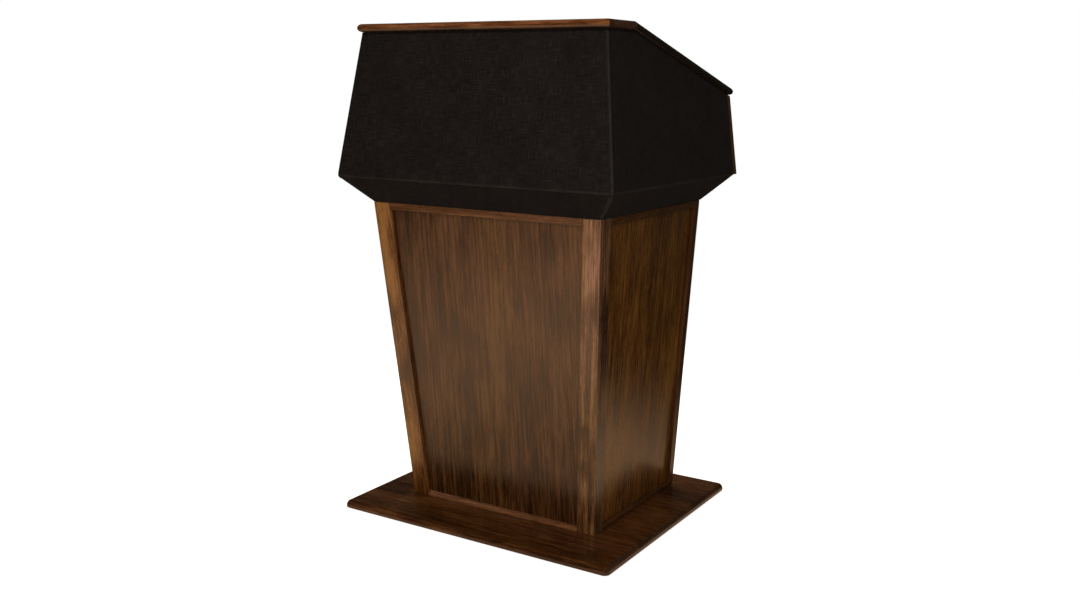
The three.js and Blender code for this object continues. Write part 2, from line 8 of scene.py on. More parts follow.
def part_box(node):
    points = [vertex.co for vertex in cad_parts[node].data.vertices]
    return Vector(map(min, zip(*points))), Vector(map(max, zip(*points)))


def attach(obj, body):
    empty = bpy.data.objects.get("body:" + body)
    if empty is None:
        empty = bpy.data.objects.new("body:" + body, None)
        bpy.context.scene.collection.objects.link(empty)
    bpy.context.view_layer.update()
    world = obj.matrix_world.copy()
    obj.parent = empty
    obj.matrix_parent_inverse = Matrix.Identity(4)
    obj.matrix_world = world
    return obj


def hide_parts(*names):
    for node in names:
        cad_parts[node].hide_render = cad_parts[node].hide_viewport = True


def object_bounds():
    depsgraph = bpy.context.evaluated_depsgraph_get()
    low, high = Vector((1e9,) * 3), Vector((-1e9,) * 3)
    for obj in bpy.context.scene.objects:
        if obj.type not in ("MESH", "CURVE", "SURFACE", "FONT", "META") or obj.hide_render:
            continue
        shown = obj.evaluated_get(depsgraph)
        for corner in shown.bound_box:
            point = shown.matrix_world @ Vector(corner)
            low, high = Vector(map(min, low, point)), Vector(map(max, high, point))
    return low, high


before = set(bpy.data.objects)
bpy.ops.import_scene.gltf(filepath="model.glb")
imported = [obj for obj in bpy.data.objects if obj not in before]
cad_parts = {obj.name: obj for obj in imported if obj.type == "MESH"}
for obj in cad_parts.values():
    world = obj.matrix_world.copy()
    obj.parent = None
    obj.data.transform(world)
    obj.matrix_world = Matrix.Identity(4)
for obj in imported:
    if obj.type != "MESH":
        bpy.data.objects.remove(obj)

CAD_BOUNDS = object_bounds()
MM = 0.001


# Places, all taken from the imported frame

def extreme(node, direction):
    """The vertex of a CAD node that lies furthest along a direction."""
    toward = Vector(direction)
    return max((v.co.copy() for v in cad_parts[node].data.vertices), key=toward.dot)


CREASE = extreme("cloth_hood", (1, -1, -9))
RIM = extreme("cloth_hood", (1, -1, 9))
HOOD_BACK_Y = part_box("cloth_hood")[1].y
NECK_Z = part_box("cloth_bevel_front")[0].z
NECK_FRONT_Y = extreme("cloth_bevel_front", (0, -1, -9)).y
NECK_SIDE_X = extreme("cloth_bevel_right", (1, 0, -9)).x
NECK_BACK_Y = extreme("cloth_bevel_right", (0, 1, -9)).y
BEND = extreme("reading_board", (0, -1, -1))
LOW_END = extreme("cloth_hood", (0, 9, 1))
SLOPE = (BEND.z - LOW_END.z) / (LOW_END.y - BEND.y)


# Small helpers for node trees

def add(tree, kind, **settings):
    node = tree.nodes.new(kind)
    for name, value in settings.items():
        setattr(node, name, value)
    return node


def only_node(tree, kind):
    return next(node for node in tree.nodes if node.type == kind)


def new_material(name):
    material = bpy.data.materials.new(name)
    material.use_nodes = True
    tree = material.node_tree
    tree.nodes.clear()
    shader = add(tree, "ShaderNodeBsdfPrincipled")
    output = add(tree, "ShaderNodeOutputMaterial")
    tree.links.new(shader.outputs[0], output.inputs["Surface"])
    return material, tree, shader


def coordinates(tree, kind="Object"):
    return add(tree, "ShaderNodeTexCoord").outputs[kind]


def scaled(tree, place, scale):
    node = add(tree, "ShaderNodeVectorMath", operation="MULTIPLY")
    tree.links.new(place, node.inputs[0])
    node.inputs[1].default_value = scale
    return node.outputs[0]


def cloud(tree, place, scale, detail=2.0, roughness=0.5, distortion=0.0):
    """Noise between 0 and 1, stretched by scale, which is in cells to the metre."""
    node = add(tree, "ShaderNodeTexNoise")
    tree.links.new(scaled(tree, place, scale), node.inputs["Vector"])
    node.inputs["Scale"].default_value = 1
    node.inputs["Detail"].default_value = detail
    node.inputs["Roughness"].default_value = roughness
    node.inputs["Distortion"].default_value = distortion
    return node.outputs["Fac"]


def spread(tree, value, low, high, to_low=0.0, to_high=1.0):
    """Maps low..high to to_low..to_high, and stops at both ends."""
    node = add(tree, "ShaderNodeMapRange")
    tree.links.new(value, node.inputs["Value"])
    node.inputs["From Min"].default_value = low
    node.inputs["From Max"].default_value = high
    node.inputs["To Min"].default_value = to_low
    node.inputs["To Max"].default_value = to_high
    return node.outputs[0]


def maths(tree, operation, first, second):
    node = add(tree, "ShaderNodeMath", operation=operation)
    for socket, value in zip(node.inputs, (first, second)):
        if isinstance(value, (int, float)):
            socket.default_value = value
        else:
            tree.links.new(value, socket)
    return node.outputs[0]


def weighted(tree, *parts):
    """Adds up (value, share) pairs."""
    total = None
    for value, share in parts:
        part = maths(tree, "MULTIPLY", value, share)
        total = part if total is None else maths(tree, "ADD", total, part)
    return total


def distance(tree, place, centre):
    node = add(tree, "ShaderNodeVectorMath", operation="DISTANCE")
    tree.links.new(place, node.inputs[0])
    node.inputs[1].default_value = centre
    return node.outputs["Value"]


def blend_colours(tree, share, first, second, mode="MIX"):
    node = add(tree, "ShaderNodeMix", data_type="RGBA", blend_type=mode)
    sockets = (node.inputs[0], node.inputs[6], node.inputs[7])
    for socket, value in zip(sockets, (share, first, second)):
        if isinstance(value, tuple):
            socket.default_value = (*value, 1)
        elif isinstance(value, (int, float)):
            socket.default_value = value
        else:
            tree.links.new(value, socket)
    return node.outputs[2]


def tinted(tree, colour, tint):
    return blend_colours(tree, 1.0, colour, tint, "MULTIPLY")


def ramp(tree, value, stops):
    node = add(tree, "ShaderNodeValToRGB")
    tree.links.new(value, node.inputs["Fac"])
    elements = node.color_ramp.elements
    while len(elements) < len(stops):
        elements.new(0.5)
    for element, (position, colour) in zip(elements, stops):
        element.position = position
        element.color = (*colour, 1)
    return node.outputs["Color"]


def bump(tree, height, depth, shader, strength=1.0):
    node = add(tree, "ShaderNodeBump")
    node.inputs["Strength"].default_value = strength
    node.inputs["Distance"].default_value = depth
    tree.links.new(height, node.inputs["Height"])
    tree.links.new(node.outputs[0], shader.inputs["Normal"])


def mix_shaders(tree, share, first, second):
    node = add(tree, "ShaderNodeMixShader")
    for socket, value in zip(node.inputs, (share, first, second)):
        tree.links.new(value, socket)
    return node.outputs[0]


# Camera, light and floor

CAMERA_PLACE = (1.4979, -2.4109, 1.0931)
CAMERA_YAW, CAMERA_PITCH, CAMERA_ROLL = 31.92, -11.27, 0.52
CAMERA_LENS = 37.58
CAMERA_SENSOR = 36

# azimuth, distance, height, size, watts, colour
KEY_LIGHT = (22, 2.2, 1.5, 2.2, 56, (1.0, 0.98, 0.95))
BACK_LIGHT = (215, 2.5, 1.9, 1.8, 60, (1.0, 0.98, 0.96))

# The world's colour and strength: behind the object, as soft light on it, and in its reflections
BACKDROP = (1.0, 1.0, 1.0), 1.0
GLOW_COLOUR = (0.94, 0.97, 1.0)
GLOW = GLOW_COLOUR, 0.16
ROOM = (1.0, 0.78, 0.5), 0.032

FLOOR_RADIUS, FLOOR_RINGS, FLOOR_SPOKES = 3.0, 8, 64
FLOOR_DROP = 0.2 * MM
FLOOR_COLOUR = (0.76, 0.66, 0.54, 1)
FLOOR_OWN_LIGHT = 0.85
FLOOR_FADE = (1.45, 2.05, 1, 0)

# The floor's painted warm glow, which lights nothing and shows only in reflections: centre, then near
# and far distance and the strength at each. SHADE_BY_BASE paints a shadow of the lectern into it.
POOL_COLOUR = (1.0, 0.62, 0.35, 1)
FRONT_POOL = (0.1, -1.3, 0), (0.8, 2.5, 0.84, 0.02)
SIDE_POOL = (0.6, 0.1, 0), (0.25, 1.0, 0.5, 0.0)
SHADE_BY_BASE = (0, 0, 0), (0.55, 1.15, 0.5, 1.0)


def make_camera():
    data = bpy.data.cameras.new("camera")
    data.sensor_width = CAMERA_SENSOR
    data.lens = CAMERA_LENS
    camera = bpy.data.objects.new("camera", data)
    bpy.context.scene.collection.objects.link(camera)
    aim = Euler((math.radians(90 + CAMERA_PITCH), 0, math.radians(CAMERA_YAW))).to_matrix()
    roll = Matrix.Rotation(math.radians(CAMERA_ROLL), 3, "Z")
    camera.matrix_world = Matrix.Translation(CAMERA_PLACE) @ (aim @ roll).to_4x4()
    bpy.context.scene.camera = camera


def area_light(name, azimuth, distance, height, size, watts, colour):
    """A square soft light aimed at the middle of the lectern, which shows in no reflection.

    Azimuth 0 is straight in front.
    """
    data = bpy.data.lights.new(name, "AREA")
    data.size = size
    data.energy = watts
    data.color = colour
    lamp = bpy.data.objects.new(name, data)
    bpy.context.scene.collection.objects.link(lamp)
    a = math.radians(azimuth)
    lamp.location = (distance * math.sin(a), -distance * math.cos(a), height)
    middle = (CAD_BOUNDS[0] + CAD_BOUNDS[1]) / 2
    lamp.rotation_mode = "QUATERNION"
    lamp.rotation_quaternion = (lamp.location - middle).to_track_quat("Z", "Y")
    lamp.visible_glossy = False


def background(tree, colour, strength):
    node = add(tree, "ShaderNodeBackground")
    node.inputs["Color"].default_value = (*colour, 1)
    node.inputs["Strength"].default_value = strength
    return node.outputs[0]


def make_world():
    """White behind the object, a softer glow around it, and a dark room in its reflections."""
    world = bpy.data.worlds.new("studio")
    bpy.context.scene.world = world
    world.use_nodes = True
    tree = world.node_tree
    tree.nodes.clear()
    path = add(tree, "ShaderNodeLightPath")
    white, glow, room = (background(tree, *look) for look in (BACKDROP, GLOW, ROOM))
    unseen = mix_shaders(tree, path.outputs["Is Glossy Ray"], glow, room)
    seen = mix_shaders(tree, path.outputs["Is Camera Ray"], unseen, white)
    output = add(tree, "ShaderNodeOutputWorld")
    tree.links.new(seen, output.inputs["Surface"])


def floor_mesh():
    """A flat disc of rings and spokes."""
    mesh = bpy.data.meshes.new("floor")
    shape = bmesh.new()
    hub = shape.verts.new((0, 0, 0))
    turns = [2 * math.pi * i / FLOOR_SPOKES for i in range(FLOOR_SPOKES)]
    before = None
    for ring in range(1, FLOOR_RINGS + 1):
        r = FLOOR_RADIUS * ring / FLOOR_RINGS
        around = [shape.verts.new((r * math.cos(t), r * math.sin(t), 0)) for t in turns]
        for i in range(FLOOR_SPOKES):
            j = (i + 1) % FLOOR_SPOKES
            inner = [hub] if before is None else [before[j], before[i]]
            shape.faces.new([around[i], around[j], *inner])
        before = around
    shape.to_mesh(mesh)
    shape.free()
    return mesh


def painted_pool_strength(tree, place):
    """Two pools of painted glow on the floor, seen only in reflections. The front one is dimmer near
    the base, as a painted shadow of the lectern.
    """
    front, side, shade = (spread(tree, distance(tree, place, centre), *fall)
                          for centre, fall in (FRONT_POOL, SIDE_POOL, SHADE_BY_BASE))
    return maths(tree, "MAXIMUM", maths(tree, "MULTIPLY", front, shade), side)


def floor_paper():
    """Pale matt paper that fades out at its rim. In reflections it shows instead as pools of painted
    warm glow, lit by no lamp.
    """
    material, tree, shader = new_material("floor_paper")
    shader.inputs["Base Color"].default_value = FLOOR_COLOUR
    shader.inputs["Roughness"].default_value = 0.9
    shader.inputs["Specular IOR Level"].default_value = 0.1
    shader.inputs["Emission Color"].default_value = (*GLOW_COLOUR, 1)
    path = add(tree, "ShaderNodeLightPath")
    own_light = maths(tree, "MULTIPLY", path.outputs["Is Camera Ray"], FLOOR_OWN_LIGHT)
    tree.links.new(own_light, shader.inputs["Emission Strength"])
    place = coordinates(tree)
    fade = spread(tree, distance(tree, place, (0, 0, 0)), *FLOOR_FADE)
    tree.links.new(fade, shader.inputs["Alpha"])
    painted_reflection = add(tree, "ShaderNodeEmission")
    painted_reflection.inputs["Color"].default_value = POOL_COLOUR
    tree.links.new(painted_pool_strength(tree, place), painted_reflection.inputs["Strength"])
    surface = mix_shaders(tree, path.outputs["Is Glossy Ray"], shader.outputs[0],
                          painted_reflection.outputs[0])
    tree.links.new(surface, only_node(tree, "OUTPUT_MATERIAL").inputs["Surface"])
    return material


def make_floor():
    floor = bpy.data.objects.new("floor", floor_mesh())
    bpy.context.scene.collection.objects.link(floor)
    floor.location.z = -FLOOR_DROP
    floor.data.materials.append(floor_paper())


# Materials, one function for each

WALNUT = [
    (0.16, (0.026, 0.0092, 0.0028)),
    (0.36, (0.060, 0.0240, 0.0070)),
    (0.50, (0.100, 0.0430, 0.0130)),
    (0.64, (0.148, 0.0700, 0.0240)),
    (0.84, (0.220, 0.1150, 0.0480)),
]
# Arris colours: partly stain rubbed thin, partly a painted edge highlight
ARRIS_WEAR_AND_HIGHLIGHT = [
    (0.35, (0.060, 0.028, 0.011)),
    (0.52, (0.105, 0.054, 0.024)),
    (0.70, (0.180, 0.104, 0.056)),
]
PALE_PLY = [
    (0.3, (0.16, 0.095, 0.050)),
    (0.5, (0.26, 0.165, 0.095)),
    (0.7, (0.36, 0.245, 0.150)),
]
BLACK_YARN = [
    (0.25, (0.0046, 0.0035, 0.0030)),
    (0.5, (0.0094, 0.0071, 0.0062)),
    (0.75, (0.018, 0.0138, 0.0122)),
]
# Colour of the painted highlight along the cloth's folds, crease and mitres
PAINTED_HIGHLIGHT_YARN = (0.031, 0.028, 0.024)
# Colour of the painted shade on the cloth under the top
SHADED_YARN = (0.0025, 0.0016, 0.0012)
OPEN_PORE = (0.007, 0.0035, 0.002)
PLY_FLECK = (0.10, 0.055, 0.03)
COOL_STAIN, WARM_STAIN = (0.97, 0.90, 1.14), (1.04, 1.05, 0.82)

# How far one seed's spot in the noise lies from the next
SEED_STEP = (3.1, 1.7, 0.9)

# Noise in walnut: cells to the metre across and along the grain, detail, roughness, distortion
FIGURE = (10, 10, 0.9), 3, 0.55, 0.25
STREAKS = (150, 150, 5), 4, 0.7
FIBRES = (420, 420, 24), 3, 0.7
PORES = (1500, 1500, 60), 1, 0.4
MOTTLE = (12, 12, 5), 2, 0.5, 0.6
STAIN_PATCHES = (8, 8, 1.6), 2, 0.5

YARN_PITCH = 0.9 * MM
YARN_WANDER = 0.9


def grain_place(tree, grain, seed):
    """Object coordinates turned so that the grain runs along Z, and moved to a spot of their own."""
    turn = Vector(grain).rotation_difference(Vector((0, 0, 1))).to_euler()
    node = add(tree, "ShaderNodeMapping")
    node.inputs["Rotation"].default_value = turn
    node.inputs["Location"].default_value = [step * seed for step in SEED_STEP]
    tree.links.new(coordinates(tree), node.inputs["Vector"])
    return node.outputs[0]


def walnut_pattern(tree, place, streaks, fibres, curl, contrast):
    """Figure, streaks, fibres and mottle added up so that their mean stays at 0.5."""
    layers = (
        (cloud(tree, place, *FIGURE), 0.3 * contrast),
        (streaks, 0.7 * contrast),
        (fibres, 1.0),
        (cloud(tree, place, *MOTTLE), curl),
    )
    middle = 0.5 - 0.5 * sum(share for _, share in layers)
    return maths(tree, "ADD", weighted(tree, *layers), middle)


def walnut(name, grain, seed, tint, roughness, coat_roughness, curl, contrast):
    """Stained walnut under lacquer: broad figure, streaks, fibres and open pores along the grain."""
    material, tree, shader = new_material(name)
    place = grain_place(tree, grain, seed)
    streaks, fibres = cloud(tree, place, *STREAKS), cloud(tree, place, *FIBRES)
    colour = ramp(tree, walnut_pattern(tree, place, streaks, fibres, curl, contrast), WALNUT)
    patches = spread(tree, cloud(tree, place, *STAIN_PATCHES), 0.38, 0.62)
    colour = tinted(tree, colour, blend_colours(tree, patches, COOL_STAIN, WARM_STAIN))
    colour = tinted(tree, colour, tint)
    open_pore = spread(tree, cloud(tree, place, *PORES), 0.60, 0.68)
    colour = blend_colours(tree, maths(tree, "MULTIPLY", open_pore, 0.55), colour, OPEN_PORE)
    tree.links.new(colour, shader.inputs["Base Color"])
    gloss = weighted(tree, (streaks, 0.5), (fibres, 0.5))
    rough = spread(tree, gloss, 0.36, 0.64, roughness - 0.1, roughness + 0.12)
    tree.links.new(rough, shader.inputs["Roughness"])
    shader.inputs["Specular IOR Level"].default_value = 0.9
    shader.inputs["Coat Weight"].default_value = 0.35
    shader.inputs["Coat Roughness"].default_value = coat_roughness
    relief = weighted(tree, (fibres, 0.4), (open_pore, -1))
    bump(tree, relief, 0.05 * MM, shader, 0.6)
    return material


def stain_ends_and_shade_underside(material, share, stain):
    """Darkens a board's ends, where the bare end grain took more stain, and its downward faces as
    painted shade.
    """
    tree = material.node_tree
    shader = only_node(tree, "BSDF_PRINCIPLED")
    colour = shader.inputs["Base Color"].links[0].from_socket
    split = add(tree, "ShaderNodeSeparateXYZ")
    tree.links.new(coordinates(tree, "Normal"), split.inputs[0])
    sideways = maths(tree, "ABSOLUTE", split.outputs[0], 0)
    end_grain_and_downward = maths(tree, "MAXIMUM", sideways, maths(tree, "MULTIPLY", split.outputs[2], -1))
    # Darker stain on the end grain, and painted shade on the downward faces
    dark = spread(tree, end_grain_and_downward, 0.15, 0.5, 0, share)
    tree.links.new(blend_colours(tree, dark, colour, stain), shader.inputs["Base Color"])


def edge_wear_and_highlight(name, grain, seed, tint):
    """The arris of a walnut piece, lighter than its faces: partly stain rubbed thin, partly a painted
    edge highlight.
    """
    material, tree, shader = new_material(name)
    place = grain_place(tree, grain, seed)
    rub_and_highlight = cloud(tree, place, (60, 60, 14), 3, 0.6)
    fibres = cloud(tree, place, (900, 900, 30), 2, 0.6)
    colour = ramp(tree, weighted(tree, (rub_and_highlight, 0.75), (fibres, 0.25)), ARRIS_WEAR_AND_HIGHLIGHT)
    tree.links.new(tinted(tree, colour, tint), shader.inputs["Base Color"])
    tree.links.new(spread(tree, rub_and_highlight, 0.3, 0.7, 0.38, 0.54), shader.inputs["Roughness"])
    shader.inputs["Coat Weight"].default_value = 0.15
    shader.inputs["Coat Roughness"].default_value = 0.2
    bump(tree, fibres, 0.05 * MM, shader, 0.5)
    return material


def plywood(name, grain, seed):
    """Sealed plywood with a pale figured face."""
    material, tree, shader = new_material(name)
    place = grain_place(tree, grain, seed)
    figure = cloud(tree, place, (12, 12, 2), 4, 0.6, 1.2)
    fibres = cloud(tree, place, (500, 500, 16), 3, 0.6)
    flecks = cloud(tree, place, (1400, 1400, 90), 1, 0.5)
    colour = ramp(tree, weighted(tree, (figure, 0.6), (fibres, 0.4)), PALE_PLY)
    colour = blend_colours(tree, spread(tree, flecks, 0.62, 0.72, 0, 0.5), colour, PLY_FLECK)
    tree.links.new(colour, shader.inputs["Base Color"])
    tree.links.new(spread(tree, fibres, 0.3, 0.7, 0.5, 0.68), shader.inputs["Roughness"])
    bump(tree, maths(tree, "ADD", fibres, flecks), 0.08 * MM, shader, 0.6)
    return material


def yarn_wave(tree, run, wander):
    """Parallel yarns as a wave in one direction of the cloth, a little uneven."""
    phase = weighted(tree, (run, math.pi / YARN_PITCH), (wander, YARN_WANDER))
    return maths(tree, "SINE", phase, 0)


def weave(tree, uv):
    """Height of a plain weave of round yarns, with fuzz on it."""
    wander = cloud(tree, uv, (260, 260, 1), 2, 0.6)
    split = add(tree, "ShaderNodeSeparateXYZ")
    tree.links.new(uv, split.inputs[0])
    warp = yarn_wave(tree, split.outputs[0], wander)
    weft = yarn_wave(tree, split.outputs[1], wander)
    yarns = maths(tree, "ABSOLUTE", maths(tree, "MULTIPLY", warp, weft), 0)
    fuzz = cloud(tree, uv, (3200, 3200, 1), 2, 0.7)
    return weighted(tree, (yarns, 0.6), (fuzz, 0.4))


def yarn_colour(tree, uv, relief):
    """Uneven black yarns, with a painted highlight along the folds and painted shade under the top.
    """
    slub = maths(tree, "ADD", cloud(tree, uv, (560, 34, 1), 2, 0.6),
                 cloud(tree, uv, (30, 600, 1), 2, 0.6))
    wear_and_highlight_blotches = cloud(tree, uv, (9, 9, 1), 4, 0.65)
    value = weighted(tree, (relief, 0.45), (slub, 0.9), (wear_and_highlight_blotches, 0.35))
    colour = ramp(tree, maths(tree, "SUBTRACT", value, 0.8), BLACK_YARN)
    # The fold attribute is over 0 where a highlight is painted and below 0 where shade is painted
    fold = add(tree, "ShaderNodeAttribute", attribute_name="fold").outputs["Fac"]
    # Painted highlight along the folds, made uneven by the blotchy noise
    rub_and_highlight = maths(tree, "MULTIPLY", fold, spread(tree, wear_and_highlight_blotches, 0.35, 0.7, 0.25, 1.0))
    colour = blend_colours(tree, rub_and_highlight, colour, PAINTED_HIGHLIGHT_YARN)
    # Painted shade under the top
    return blend_colours(tree, spread(tree, fold, -1, 0, 0.75, 0), colour, SHADED_YARN)


def black_cloth(name):
    """Plain weave of matt black yarn. The sheet's UV map is in metres along the cloth."""
    material, tree, shader = new_material(name)
    uv = add(tree, "ShaderNodeUVMap", uv_map="cloth").outputs[0]
    relief = weave(tree, uv)
    tree.links.new(yarn_colour(tree, uv, relief), shader.inputs["Base Color"])
    tree.links.new(spread(tree, relief, 0.2, 0.8, 0.98, 0.82), shader.inputs["Roughness"])
    shader.inputs["Specular IOR Level"].default_value = 0.08
    shader.inputs["Sheen Weight"].default_value = 0.03
    shader.inputs["Sheen Roughness"].default_value = 0.45
    shader.inputs["Sheen Tint"].default_value = (0.75, 0.68, 0.62, 1)
    bump(tree, relief, 0.25 * MM, shader, 0.6)
    return material


def nylon(name):
    """Moulded nylon with a faint grain and floor dirt on it."""
    material, tree, shader = new_material(name)
    place = coordinates(tree)
    grain = cloud(tree, place, (1500, 1500, 1500), 2, 0.6)
    dirt = cloud(tree, place, (160, 160, 160), 4, 0.65)
    colour = ramp(tree, dirt, [(0.35, (0.30, 0.27, 0.23)), (0.65, (0.58, 0.55, 0.50))])
    tree.links.new(colour, shader.inputs["Base Color"])
    tree.links.new(spread(tree, dirt, 0.3, 0.7, 0.6, 0.42), shader.inputs["Roughness"])
    bump(tree, grain, 0.05 * MM, shader, 0.5)
    return material


def zinc_steel(name):
    """Zinc-plated steel: cloudy plating with fine turning marks."""
    material, tree, shader = new_material(name)
    place = coordinates(tree)
    cloudiness = cloud(tree, place, (240, 240, 240), 3, 0.6)
    marks = cloud(tree, place, (5200, 5200, 500), 2, 0.5)
    colour = ramp(tree, cloudiness, [(0.35, (0.42, 0.42, 0.40)), (0.65, (0.66, 0.66, 0.64))])
    tree.links.new(colour, shader.inputs["Base Color"])
    tree.links.new(spread(tree, marks, 0.3, 0.7, 0.26, 0.44), shader.inputs["Roughness"])
    shader.inputs["Metallic"].default_value = 1
    bump(tree, marks, 0.02 * MM, shader, 0.5)
    return material


# Carried-over CAD nodes

WELD_DISTANCE = 0.01 * MM
FLAT_ANGLE = 0.6
SHARP_ANGLE = 32
FACE_WEIGHT = 80
ARRIS_SEGMENTS, SMALL_SEGMENTS = 3, 2
PLY_EDGE, NYLON_EDGE, STEEL_EDGE = 0.4 * MM, 0.3 * MM, 0.15 * MM


def smooth_shading():
    """A modifier tree that only shades its mesh smooth."""
    tree = bpy.data.node_groups.new("smooth_shading", "GeometryNodeTree")
    tree.interface.new_socket("Geometry", in_out="INPUT", socket_type="NodeSocketGeometry")
    tree.interface.new_socket("Geometry", in_out="OUTPUT", socket_type="NodeSocketGeometry")
    start = tree.nodes.new("NodeGroupInput")
    smooth = tree.nodes.new("GeometryNodeSetShadeSmooth")
    end = tree.nodes.new("NodeGroupOutput")
    tree.links.new(start.outputs[0], smooth.inputs["Geometry"])
    tree.links.new(smooth.outputs[0], end.inputs[0])
    return tree


SMOOTH = smooth_shading()


def ease_edges(node, width, segments, edge_slot=0):
    """Rounds a CAD node's sharp edges with modifiers, which leave its own mesh as it is."""
    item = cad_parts[node]
    weld = item.modifiers.new("weld", "WELD")
    weld.merge_threshold = WELD_DISTANCE
    flat = item.modifiers.new("flat", "DECIMATE")
    flat.decimate_type = "DISSOLVE"
    flat.angle_limit = math.radians(FLAT_ANGLE)
    smooth = item.modifiers.new("smooth", "NODES")
    smooth.node_group = SMOOTH
    edge = item.modifiers.new("edge", "BEVEL")
    edge.width = width
    edge.segments = segments
    edge.limit_method = "ANGLE"
    edge.angle_limit = math.radians(SHARP_ANGLE)
    edge.use_clamp_overlap = True
    edge.material = edge_slot
    item.modifiers.new("normals", "WEIGHTED_NORMAL").weight = FACE_WEIGHT


def paint(node, *materials):
    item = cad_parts[node]
    item.data.materials.clear()
    for material in materials:
        item.data.materials.append(material)


# Directions of the grain. The column's sides lean by LEAN_X and its front by LEAN_Y to one of height.
LEAN_X = 0.065
LEAN_Y = -0.109
HOOD_LEAN = 0.13
ACROSS, BACKWARD = (1, 0, 0), (0, 1, 0)

# tint, roughness, coat roughness, curl, contrast
VENEER = ((0.45, 0.345, 0.26), 0.28, 0.16, 0.9, 2.6)
FLANK = ((1.02, 0.80, 0.18), 0.28, 0.16, 0.6, 1.5)
PLAIN = ((0.72, 0.66, 0.62), 0.3, 0.16, 0.25, 1.2)
ROSY = ((1.2, 1.17, 1.32), 0.28, 0.14, 1.2, 2.2)
GOLDEN = ((1.12, 0.90, 0.52), 0.28, 0.14, 1.9, 1.7)
RAIL = ((0.78, 0.60, 0.50), 0.28, 0.14, 0.2, 1.2)
# A darker copy for the side rails and side mouldings: painted shade
SIDE_RAIL = ((0.55, 0.38, 0.14), 0.28, 0.14, 0.2, 1.2)
# A darker copy for the back posts: painted shade
REAR = ((0.58, 0.40, 0.22), 0.34, 0.22, 0.3, 1.2)
# A lighter copy for the front foot moulding: painted highlight
BEAD = ((1.25, 1.1, 1.3), 0.28, 0.14, 0.2, 1.0)
DEEP = ((0.58, 0.41, 0.30), 0.24, 0.18, 0.9, 1.6)
RED = ((1.42, 1.06, 0.9), 0.28, 0.1, 0.9, 1.6)
SHADED = ((0.75, 0.58, 0.5), 0.28, 0.1, 0.3, 1.0)

# node: (grain, look, edge width in millimetres, seed)
WALNUT_PIECES = {
    "base_board": (ACROSS, DEEP, 0.6, 16),
    "post_front_left": ((-LEAN_X, LEAN_Y, 1), GOLDEN, 1.4, 81),
    "post_front_right": ((LEAN_X, LEAN_Y, 1), ROSY, 1.4, 3),
    "post_back_left": ((-LEAN_X, 0, 1), REAR, 1.2, 4),
    "post_back_right": ((LEAN_X, 0, 1), REAR, 1.2, 5),
    "panel_front": ((0, LEAN_Y, 1), VENEER, 0.3, 189),
    "panel_left": ((-LEAN_X, 0, 1), FLANK, 0.3, 7),
    "panel_right": ((LEAN_X, 0, 1), FLANK, 0.3, 185),
    "top_rail_front": (ACROSS, RAIL, 0.8, 9),
    "top_rail_left": (BACKWARD, SIDE_RAIL, 0.8, 10),
    "top_rail_right": (BACKWARD, SIDE_RAIL, 0.8, 11),
    "foot_moulding_front": (ACROSS, BEAD, 0.4, 12),
    "foot_moulding_left": (BACKWARD, SIDE_RAIL, 0.4, 13),
    "foot_moulding_right": (BACKWARD, SIDE_RAIL, 0.4, 14),
    "back_rail_bottom": (ACROSS, PLAIN, 1.0, 15),
    "back_rail_top": (ACROSS, PLAIN, 1.0, 16),
    "shelf": (ACROSS, PLAIN, 0.3, 17),
    "hood_floor": (ACROSS, PLAIN, 0.4, 18),
    "hood_bevel_back": (ACROSS, PLAIN, 0.6, 19),
    "hood_stile_left": ((HOOD_LEAN, 0, 1), PLAIN, 1.0, 20),
    "hood_stile_right": ((-HOOD_LEAN, 0, 1), PLAIN, 1.0, 21),
    "hood_sill": (ACROSS, PLAIN, 1.0, 22),
    "hood_apron": (ACROSS, PLAIN, 1.0, 23),
    "top_board": (ACROSS, RED, 0.2, 24),
    "reading_board": (ACROSS, SHADED, 0.2, 25),
    "paper_stop": (ACROSS, RED, 0.3, 26),
}

# node: share and colour of the darker stain on its ends, also used as painted shade on its underside
END_STAINS_AND_UNDERSIDE_SHADE = {
    "reading_board": (0.96, (0.0042, 0.0032, 0.0026)),
    "top_board": (0.7, (0.010, 0.0075, 0.0055)),
    "base_board": (0.45, (0.012, 0.008, 0.006)),
}
READING_ARRIS_SHARE = 0.9

# node: grain
PLY_PIECES = {
    "base_cleat_front": ACROSS, "base_cleat_left": BACKWARD, "base_cleat_right": BACKWARD,
    "hood_bevel_front": ACROSS, "hood_bevel_left": BACKWARD, "hood_bevel_right": BACKWARD,
    "hood_wall_front": ACROSS, "hood_wall_left": BACKWARD, "hood_wall_right": BACKWARD,
    "top_cleat_front": ACROSS, "top_cleat_left": BACKWARD, "top_cleat_right": BACKWARD,
}
FIRST_PLY_SEED = 40


def finish_walnut():
    for node, (grain, look, edge, seed) in WALNUT_PIECES.items():
        face = walnut(f"walnut_{node}", grain, seed, *look)
        arris = edge_wear_and_highlight(f"arris_{node}", grain, seed, look[0])
        if node in END_STAINS_AND_UNDERSIDE_SHADE:
            stain_ends_and_shade_underside(face, *END_STAINS_AND_UNDERSIDE_SHADE[node])
        if node == "reading_board":
            stain_ends_and_shade_underside(arris, READING_ARRIS_SHARE, END_STAINS_AND_UNDERSIDE_SHADE[node][1])
        paint(node, face, arris)
        ease_edges(node, edge * MM, ARRIS_SEGMENTS, 1)


def finish_plywood():
    for seed, (node, grain) in enumerate(PLY_PIECES.items(), FIRST_PLY_SEED):
        paint(node, plywood(f"ply_{node}", grain, seed))
        ease_edges(node, PLY_EDGE, SMALL_SEGMENTS)


